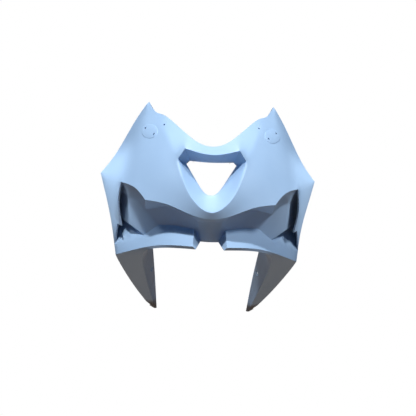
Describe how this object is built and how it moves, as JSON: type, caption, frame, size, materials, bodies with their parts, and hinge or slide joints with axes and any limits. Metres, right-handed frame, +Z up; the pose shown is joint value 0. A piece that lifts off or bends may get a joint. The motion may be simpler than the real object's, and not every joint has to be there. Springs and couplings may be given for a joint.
{
  "type": "motorcycle upper fairing",
  "caption": "One-piece moulded sport motorcycle upper fairing with a central air intake, swept cheeks, recessed side ducts, chin lip and two trailing legs, in bare pale primer.",
  "frame": {"origin": "on the centre plane, midway between the two mirror pads, where the front stay holds the fairing", "axes": "+X across to the right as seen from the front, +Y from the nose to the rear, +Z up"},
  "size_m": [0.502, 0.4371, 0.499],
  "materials": {
    "primer": "satin pale blue-grey primer over a moulded shell"
  },
  "bodies": {
    "root": {"upper_fairing": "primer"}
  },
  "joints": []
}
